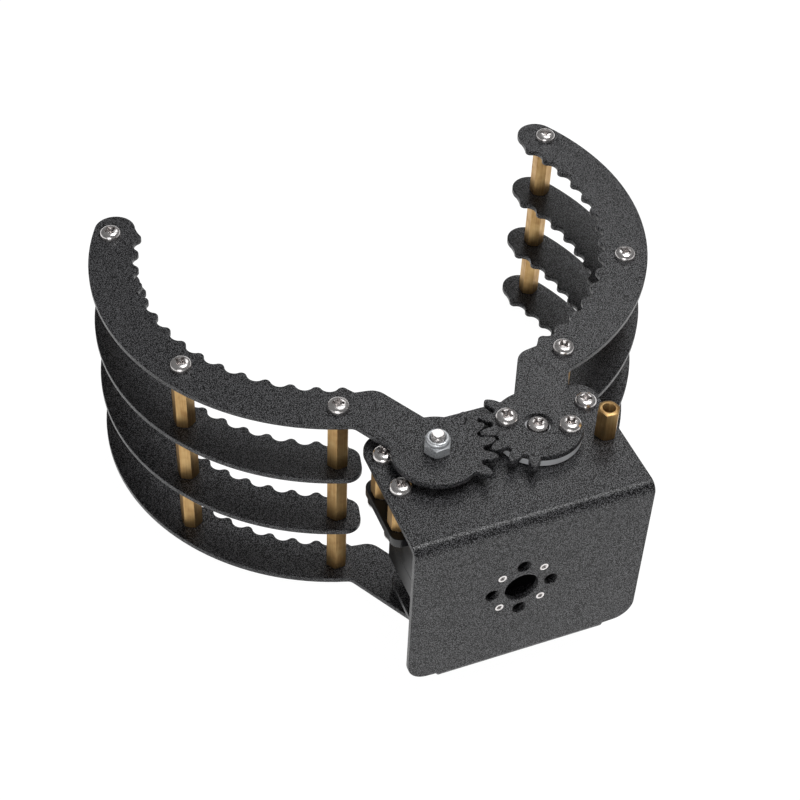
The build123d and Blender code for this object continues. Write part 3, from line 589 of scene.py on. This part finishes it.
class Tree:
    """A Geometry Nodes tree with named inputs, built from short lines."""

    def __init__(self, name, **sizes):
        self.tree = bpy.data.node_groups.new(name, "GeometryNodeTree")
        self.tree.is_modifier = True
        face = self.tree.interface
        face.new_socket("Geometry", in_out="INPUT", socket_type="NodeSocketGeometry")
        face.new_socket("Geometry", in_out="OUTPUT", socket_type="NodeSocketGeometry")
        self.identifiers = {}
        for key, value in sizes.items():
            label = key.replace("_", " ").title()
            socket = face.new_socket(label, in_out="INPUT", socket_type="NodeSocketFloat")
            socket.default_value = value
            self.identifiers[key] = socket.identifier
        socket = face.new_socket("Finish", in_out="INPUT", socket_type="NodeSocketMaterial")
        self.identifiers["finish"] = socket.identifier
        self.source = self.tree.nodes.new("NodeGroupInput")
        self.sink = self.tree.nodes.new("NodeGroupOutput")
        self.size = {key: self.source.outputs[key.replace("_", " ").title()] for key in sizes}

    def add(self, kind, inputs, **settings):
        """First output of a new node, with the node's inputs linked or set."""
        return add_node(self.tree, kind, inputs, **settings).outputs[0]

    def math(self, operation, a, b=0.0):
        return self.add("ShaderNodeMath", {0: a, 1: b}, operation=operation)

    def vector(self, x, y, z):
        return self.add("ShaderNodeCombineXYZ", {0: x, 1: y, 2: z})

    def parts(self, vector):
        """The three numbers of a vector."""
        made = add_node(self.tree, "ShaderNodeSeparateXYZ", {0: vector})
        return made.outputs[0], made.outputs[1], made.outputs[2]

    def lifted(self, geometry, z, turn=0.0):
        """Geometry moved up, after a turn about Z in degrees."""
        inputs = {"Geometry": geometry, "Translation": self.vector(0.0, 0.0, z),
                  "Rotation": (0, 0, math.radians(turn))}
        return self.add("GeometryNodeTransform", inputs)

    def bar(self, radius, length, sides):
        """Upright bar that stands on the origin."""
        inputs = {"Vertices": sides, "Radius": radius, "Depth": length}
        plain = self.add("GeometryNodeMeshCylinder", inputs)
        return self.lifted(plain, self.math("MULTIPLY", length, 0.5))

    def cone(self, bottom, top, length, sides):
        """Upright cone or part cone that stands on the origin."""
        inputs = {"Vertices": sides, "Radius Bottom": bottom, "Radius Top": top, "Depth": length}
        return self.add("GeometryNodeMeshCone", inputs)

    def boolean(self, operation, first, *others):
        """What is left of the first shape, or what all the shapes share or make together."""
        if operation == "DIFFERENCE":
            inputs = {0: first, 1: list(others)}
        else:
            inputs = {1: [first, *others]}
        return self.add("GeometryNodeMeshBoolean", inputs, operation=operation, solver="EXACT")

    def thread(self, radius, length, pitch, depth, rings, point=0.0):
        """Cylinder about the origin whose wall winds in and out; a point narrows its low end."""
        inputs = {"Vertices": THREAD_SIDES, "Side Segments": rings, "Radius": radius, "Depth": length}
        plain = self.add("GeometryNodeMeshCylinder", inputs)
        x, y, z = self.parts(self.add("GeometryNodeInputPosition", {}))
        around = self.math("DIVIDE", self.math("ARCTAN2", y, x), 2 * math.pi)
        phase = self.math("SUBTRACT", self.math("DIVIDE", z, pitch), around)
        wave = self.math("MULTIPLY", self.math("PINGPONG", phase, 0.5), 2.0)
        cut = self.math("DIVIDE", self.math("MULTIPLY", wave, depth), radius)
        keep = self.math("SUBTRACT", 1.0, cut)
        if point:
            up = self.math("ADD", z, self.math("MULTIPLY", length, 0.5))
            narrow = self.math("ADD", self.math("DIVIDE", up, point), POINT_WIDTH)
            keep = self.math("MINIMUM", keep, narrow)
        place = self.vector(self.math("MULTIPLY", x, keep), self.math("MULTIPLY", y, keep), z)
        return self.add("GeometryNodeSetPosition", {"Geometry": plain, "Position": place})

    def finish(self, shape):
        """Sets the shape on every point, turned by the point's own values, and closes the tree."""
        upside = self.add("GeometryNodeInputNamedAttribute", {"Name": "upside"}, data_type="FLOAT")
        turn = self.add("GeometryNodeInputNamedAttribute", {"Name": "turn"}, data_type="FLOAT")
        flip = self.math("MULTIPLY", upside, math.pi)
        placed = self.add("GeometryNodeInstanceOnPoints", {
            "Points": self.source.outputs["Geometry"], "Instance": shape,
            "Rotation": self.vector(flip, 0.0, turn)})
        real = self.add("GeometryNodeRealizeInstances", {"Geometry": placed})
        coated = self.add("GeometryNodeSetMaterial", {
            "Geometry": real, "Material": self.source.outputs["Finish"]})
        join(self.tree, coated, self.sink.inputs[0])
        return self

    def build(self, name, points, material, **sizes):
        """Runs the tree on points of (place, upside, turn) and returns a plain mesh object."""
        mesh = bpy.data.meshes.new(name)
        mesh.from_pydata([place for place, _, _ in points], [], [])
        for key, which in (("upside", 1), ("turn", 2)):
            values = mesh.attributes.new(key, "FLOAT", "POINT")
            for k, point in enumerate(points):
                values.data[k].value = point[which]
        piece = new_object(name, mesh)
        modifier = piece.modifiers.new("tree", "NODES")
        modifier.node_group = self.tree
        for key, value in sizes.items():
            modifier[self.identifiers[key]] = value
        modifier[self.identifiers["finish"]] = material
        baked(piece)
        smooth_by_angle(piece.data, FASTENER_ANGLE)
        return piece


# %% [markdown]
# ### Points from solids
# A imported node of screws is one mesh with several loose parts. Merging its doubles and walking from
# vertex to vertex finds each part, and the middle of its box is the screw's axis.

# %% Find each solid of a node
OUTERMOST = 0.985


def loose_parts(node_name):
    """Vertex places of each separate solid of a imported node, left to right."""
    shape = bmesh.new()
    shape.from_mesh(nodes[node_name].data)
    bmesh.ops.remove_doubles(shape, verts=shape.verts, dist=WELD)
    left, groups = set(shape.verts), []
    while left:
        stack, group = [left.pop()], []
        while stack:
            vertex = stack.pop()
            group.append(vertex.co.copy())
            for edge in vertex.link_edges:
                other = edge.other_vert(vertex)
                if other in left:
                    left.remove(other)
                    stack.append(other)
        groups.append(group)
    shape.free()
    return sorted(groups, key=lambda group: (round(min(p.x for p in group), 4), min(p.y for p in group)))


def solids_of(node_name):
    """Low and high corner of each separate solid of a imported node."""
    boxes = []
    for group in loose_parts(node_name):
        low = Vector(min(p[i] for p in group) for i in range(3))
        high = Vector(max(p[i] for p in group) for i in range(3))
        boxes.append((low, high))
    return boxes


def corner_turns(node_name):
    """Angle of a corner of each six-sided solid, from the shared phase of its outermost vertices."""
    turns = []
    for group, (low, high) in zip(loose_parts(node_name), solids_of(node_name)):
        middle = (low + high) / 2
        arms = [complex(p.x - middle.x, p.y - middle.y) for p in group]
        reach = max(abs(arm) for arm in arms)
        phase = sum((arm / abs(arm)) ** 6 for arm in arms if abs(arm) > OUTERMOST * reach)
        turns.append(cmath.phase(phase) / 6)
    return turns


# %% [markdown]
# ### Pan head screws
# The head is a flattened ball, squarer than a sphere, with a cross-shaped recess driven into it. A
# sphere whose coordinates are raised to a power gives that shape with one Set Position. Two tapered bars
# and a small ball cut the recess. The thread is a cylinder whose wall follows the angle round the axis as
# it climbs.

# %% Screw tree
HEAD_SQUARE = 0.52
HEAD_CROWN = 0.72
HEAD_SEGMENTS, HEAD_RINGS = 40, 20
BALL_SEGMENTS, BALL_RINGS = 16, 8
RECESS_SPAN = 0.70
RECESS_WIDTH = 0.19
RECESS_DEPTH = 0.80
RECESS_FLOOR = 0.45
THREAD_PITCH = 0.5 * MM
THREAD_DEPTH = 0.26 * MM
SHANK_RINGS = 96
POINT_LENGTH = 1.6 * MM
OVERLAP = 0.1 * MM
TINY = 0.0001
# Each row of sizes is the head's radius, the head's height and the shank's radius.
PAN_HEAD = (2.55 * MM, 1.8 * MM, 1.5 * MM)
HEADS = {"servo_case_screws": (1.8 * MM, 1.3 * MM, 1.0 * MM)}


def taper(tree, size):
    """Position field that narrows a recess bar towards its floor."""
    x, y, z = tree.parts(tree.add("GeometryNodeInputPosition", {}))
    low = tree.math("MULTIPLY", size["head_height"], -1.0)
    levels = {"Value": z, "From Min": low, "From Max": 0.0, "To Min": RECESS_FLOOR, "To Max": 1.0}
    narrow = tree.add("ShaderNodeMapRange", levels)
    return tree.vector(tree.math("MULTIPLY", x, narrow), tree.math("MULTIPLY", y, narrow), z)


def screw_tree():
    """Pan head screw whose head sits at the origin and whose threaded shank hangs below."""
    tree = Tree("pan_head_screw", head_radius=2.5 * MM, head_height=1.8 * MM, shank_radius=1.5 * MM,
                shank_length=6.0 * MM, pitch=THREAD_PITCH)
    size = tree.size
    ball = tree.add("GeometryNodeMeshUVSphere", {
        "Segments": HEAD_SEGMENTS, "Rings": HEAD_RINGS, "Radius": 1.0})
    x, y, z = tree.parts(tree.add("GeometryNodeInputPosition", {}))
    square = tree.math("ADD", tree.math("MULTIPLY", x, x), tree.math("MULTIPLY", y, y))
    reach = tree.math("MAXIMUM", tree.math("SQRT", square), TINY)
    widen = tree.math("MULTIPLY", tree.math("POWER", reach, HEAD_SQUARE - 1.0), size["head_radius"])
    crown = tree.math("POWER", tree.math("MAXIMUM", z, 0.0), HEAD_CROWN)
    lift = tree.math("MULTIPLY", crown, size["head_height"])
    place = tree.vector(tree.math("MULTIPLY", x, widen), tree.math("MULTIPLY", y, widen), lift)
    head = tree.add("GeometryNodeSetPosition", {"Geometry": ball, "Position": place})
    span = tree.math("MULTIPLY", size["head_radius"], 2 * RECESS_SPAN)
    width = tree.math("MULTIPLY", size["head_radius"], 2 * RECESS_WIDTH)
    deep = tree.math("MULTIPLY", size["head_height"], 2 * RECESS_DEPTH)
    cuts = []
    for turn in (0, 90):
        bar = tree.add("GeometryNodeMeshCube", {"Size": tree.vector(span, width, deep)})
        narrow = tree.add("GeometryNodeSetPosition", {"Geometry": bar, "Position": taper(tree, size)})
        cuts.append(tree.lifted(narrow, size["head_height"], turn))
    small = tree.add("GeometryNodeMeshUVSphere", {
        "Segments": BALL_SEGMENTS, "Rings": BALL_RINGS, "Radius": width})
    cuts.append(tree.lifted(small, size["head_height"]))
    cut = tree.boolean("DIFFERENCE", head, *cuts)
    shank = tree.thread(size["shank_radius"], size["shank_length"], size["pitch"], THREAD_DEPTH,
                        SHANK_RINGS, POINT_LENGTH)
    return tree.finish(tree.boolean("UNION", cut, hung(tree, shank, size["shank_length"])))


def hung(tree, rod, length):
    """A rod that hangs below the origin and reaches a little above it, into what it is joined to."""
    return tree.lifted(rod, tree.math("ADD", tree.math("MULTIPLY", length, -0.5), OVERLAP))


def screw_points(node_name, head, upside, turns):
    """Head seats of a node of screws, with each screw's own turn in degrees."""
    points = []
    for k, (low, high) in enumerate(solids_of(node_name)):
        middle = (low + high) / 2
        seat = low.z + head if upside else high.z - head
        points.append(((middle.x, middle.y, seat), float(upside), math.radians(turns[k % len(turns)])))
    return points


screws = screw_tree()


def make_screws(node_name, upside, turns=(20, 75, 48)):
    """One mesh for a node of screws, each as long as the node's first solid."""
    radius, height, shank = HEADS.get(node_name, PAN_HEAD)
    low, high = solids_of(node_name)[0]
    points = screw_points(node_name, height, upside, turns)
    piece = screws.build(f"{node_name}_made", points, nickel, head_radius=radius, head_height=height,
                         shank_radius=shank, shank_length=high.z - low.z - height)
    return dress(piece, None, node_name)


for side in SIDES:
    make_screws(f"{side}_top_screws", False, (12, 40, 66))
    make_screws(f"{side}_bottom_screws", True)
make_screws("shelf_screws", False, (30, 5, 60))
make_screws("horn_plate_screws", False, (35, 10))
make_screws("horn_centre_screw", False, (8,))
make_screws("servo_ear_screws", True)
make_screws("servo_case_screws", True)
for which in PLAIN_PIVOTS:
    make_screws(f"{which}_pivot_bolt", True)

# %% [markdown]
# ### Hexagonal posts
# A hexagonal bar is cut to length and its corners are turned down at both ends, which leaves a small
# arc on each flat. Two wide cones, one opening upwards and one downwards, do the same: what the bar and
# both cones share is the post. A threaded cutter then bores it, and a cone widens the bore's mouth.

# %% Post tree
CHAMFER_SLOPE = 1.7
CHAMFER_START = 0.90
CHAMFER_SIDES = 48
MOUTH_WIDER = 0.30 * MM
MOUTH_DEEP = 0.45 * MM
BORE_RINGS = 120
STUD_RINGS = 72
STUD = 6.0 * MM
SHORTEST_STUD = 0.4 * MM


def post_tree():
    """Hexagonal post that stands on the origin, with a stud below and a bore above."""
    tree = Tree("hexagonal_post", flats=4.5 * MM, length=16.0 * MM, bore_radius=1.5 * MM,
                bore_depth=5.0 * MM, stud_length=6.0 * MM, stud_radius=1.45 * MM)
    size = tree.size
    bar = tree.bar(tree.math("DIVIDE", size["flats"], math.sqrt(3)), size["length"], 6)
    small = tree.math("MULTIPLY", size["flats"], CHAMFER_START / 2)
    large = tree.math("ADD", small, tree.math("MULTIPLY", size["length"], CHAMFER_SLOPE))
    opening = tree.cone(small, large, size["length"], CHAMFER_SIDES)
    closing = tree.cone(large, small, size["length"], CHAMFER_SIDES)
    body = tree.boolean("INTERSECT", bar, opening, closing)
    cutter = tree.thread(size["bore_radius"], tree.math("MULTIPLY", size["bore_depth"], 2.0),
                         THREAD_PITCH, THREAD_DEPTH, BORE_RINGS)
    narrow = tree.math("SUBTRACT", size["bore_radius"], MOUTH_WIDER)
    wide = tree.math("ADD", size["bore_radius"], MOUTH_WIDER)
    mouth = tree.cone(narrow, wide, 2 * MOUTH_DEEP, THREAD_SIDES)
    mouth = tree.lifted(mouth, tree.math("SUBTRACT", size["length"], MOUTH_DEEP))
    hollow = tree.boolean("DIFFERENCE", body, tree.lifted(cutter, size["length"]), mouth)
    stud = tree.thread(size["stud_radius"], size["stud_length"], THREAD_PITCH, THREAD_DEPTH, STUD_RINGS)
    return tree.finish(tree.boolean("UNION", hollow, hung(tree, stud, size["stud_length"])))


posts = post_tree()


def make_posts(node_name, name, stud):
    """One mesh for a node of hexagonal posts."""
    points, height = [], 0.0
    for (low, high), turn in zip(solids_of(node_name), corner_turns(node_name)):
        middle = (low + high) / 2
        height = high.z - low.z - stud
        points.append(((middle.x, middle.y, low.z + stud), 0.0, turn))
    piece = posts.build(name, points, brass, length=height, stud_length=max(stud, SHORTEST_STUD))
    return dress(piece, None, node_name)


for side in SIDES:
    for layer, stud in (("upper", STUD), ("middle", STUD), ("lower", 0.0)):
        make_posts(f"{side}_{layer}_spacers", f"{side}_{layer}_posts", stud)
make_posts("servo_ear_standoffs", "ear_standoffs", 0.0)
make_posts("opening_stop_post", "stop_post", STUD)

# %% [markdown]
# ### Lock nuts
# A lock nut is a hexagon with a round collar on top, rolled over a ring of nylon that grips the bolt.
# Turned pieces like the collar and the ring are easiest as a lathe: a profile of radius and height,
# swept round the axis.

# %% Lock nuts
NUT_FLATS = 5.5 * MM
NUT_HEX = 2.7 * MM
NUT_BORE = 1.5 * MM
COLLAR_RADIUS = 2.62 * MM
COLLAR_LIP = 1.66 * MM
COLLAR_ROLL = 0.62 * MM
COLLAR_STEPS = 8
RING_SUNK = 1.1 * MM
RING_GRIP = 0.02 * MM
RING_LAP = 0.03 * MM
LATHE_STEPS = 48
TURNED_ANGLE = math.radians(30)


def lathe(name, profile, place):
    """Closed ring swept from a loop of (radius, height) points about an upright axis."""
    vertices, faces = [], []
    count = len(profile)
    for k in range(LATHE_STEPS):
        angle = 2 * math.pi * k / LATHE_STEPS
        for radius, height in profile:
            vertices.append((place.x + radius * math.cos(angle), place.y + radius * math.sin(angle),
                             place.z + height))
    for k in range(LATHE_STEPS):
        after = (k + 1) % LATHE_STEPS
        for j in range(count):
            step = (j + 1) % count
            faces.append((k * count + j, after * count + j, after * count + step, k * count + step))
    mesh = bpy.data.meshes.new(name)
    mesh.from_pydata(vertices, [], faces)
    shape = bmesh.new()
    shape.from_mesh(mesh)
    bmesh.ops.recalc_face_normals(shape, faces=shape.faces)
    shape.to_mesh(mesh)
    shape.free()
    smooth_by_angle(mesh, TURNED_ANGLE)
    return new_object(name, mesh)


def joined(name, *pieces):
    """Several objects as one mesh, each with its own material."""
    shape = bmesh.new()
    mesh = bpy.data.meshes.new(name)
    for k, (piece, material) in enumerate(pieces):
        before = len(shape.faces)
        shape.from_mesh(piece.data)
        shape.faces.ensure_lookup_table()
        for face in shape.faces[before:]:
            face.material_index = k
        mesh.materials.append(material)
        bpy.data.objects.remove(piece)
    shape.to_mesh(mesh)
    shape.free()
    smooth_by_angle(mesh, TURNED_ANGLE)
    return new_object(name, mesh)


def make_nut(which):
    """Lock nut: chamfered hexagon, rolled collar and nylon ring."""
    low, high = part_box(f"{which}_pivot_nut")
    base = Vector(((low.x + high.x) / 2, (low.y + high.y) / 2, low.z))
    turn = corner_turns(f"{which}_pivot_nut")[0]
    hexagon = posts.build("hexagon", [(tuple(base), 0.0, turn)], zinc, flats=NUT_FLATS, length=NUT_HEX,
                          bore_radius=NUT_BORE, bore_depth=NUT_HEX + 1 * MM, stud_length=0.0)
    top = high.z - low.z
    foot = NUT_HEX - OVERLAP
    middle, half = (COLLAR_RADIUS + COLLAR_LIP) / 2, (COLLAR_RADIUS - COLLAR_LIP) / 2
    profile = [(COLLAR_LIP, foot), (COLLAR_RADIUS, foot)]
    for k in range(COLLAR_STEPS + 1):
        angle = math.pi * k / COLLAR_STEPS
        profile.append((middle + half * math.cos(angle), top - COLLAR_ROLL * (1 - math.sin(angle))))
    collar = lathe("collar", profile, base)
    inner, outer, sunk = NUT_BORE - RING_GRIP, COLLAR_LIP + RING_LAP, top - RING_SUNK
    ring = lathe("ring", [(inner, foot), (outer, foot), (outer, sunk), (inner, sunk)], base)
    nut = joined(f"{which}_lock_nut", (hexagon, zinc), (collar, zinc), (ring, nylon))
    return dress(nut, None, f"{which}_pivot_nut")


for which in PLAIN_PIVOTS:
    make_nut(which)

# %% [markdown]
# ## Tapped holes of the mounting face
# Four of the small holes were tapped after painting, so bare metal shows in them. Each gets a thin
# lining with a thread inside, cut by the same winding wall as the screws.

# %% Bare threads in the face
TAPPED_RADIUS = 1.0 * MM
TAPPED_LINING = 0.34 * MM
TAPPED_PITCH = 0.4 * MM
TAPPED_THREAD = 0.14 * MM
TAPPED_CIRCLE = 7.0 * MM
TAPPED_RINGS = 36
LINING_SIDES = 32
LINING_LENGTH = 1.44 * MM
SHEET_MIDDLE = 0.75 * MM
CUTTER_LONGER = 1.2


def lining_tree():
    """Short tube along Y with a threaded bore."""
    tree = Tree("tapped_lining", radius=TAPPED_RADIUS, thickness=TAPPED_LINING, length=LINING_LENGTH)
    size = tree.size
    inner = tree.math("SUBTRACT", size["radius"], size["thickness"])
    reach = tree.math("MULTIPLY", size["length"], CUTTER_LONGER)
    cutter = tree.thread(inner, reach, TAPPED_PITCH, TAPPED_THREAD, TAPPED_RINGS)
    tube = tree.add("GeometryNodeMeshCylinder", {
        "Vertices": LINING_SIDES, "Radius": size["radius"], "Depth": size["length"]})
    lining = tree.boolean("DIFFERENCE", tube, cutter)
    lay = tree.add("GeometryNodeTransform", {"Geometry": lining, "Rotation": (math.pi / 2, 0, 0)})
    return tree.finish(lay)


def make_linings():
    """Threaded linings of the four tapped holes, just short of both faces of the sheet."""
    points = []
    for k in range(4):
        angle = math.radians(45 + 90 * k)
        place = (TAPPED_CIRCLE * math.cos(angle), SHEET_MIDDLE, TAPPED_CIRCLE * math.sin(angle))
        points.append((place, 0.0, 0.0))
    piece = lining_tree().build("tapped_threads", points, nickel)
    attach(piece, "base")


make_linings()
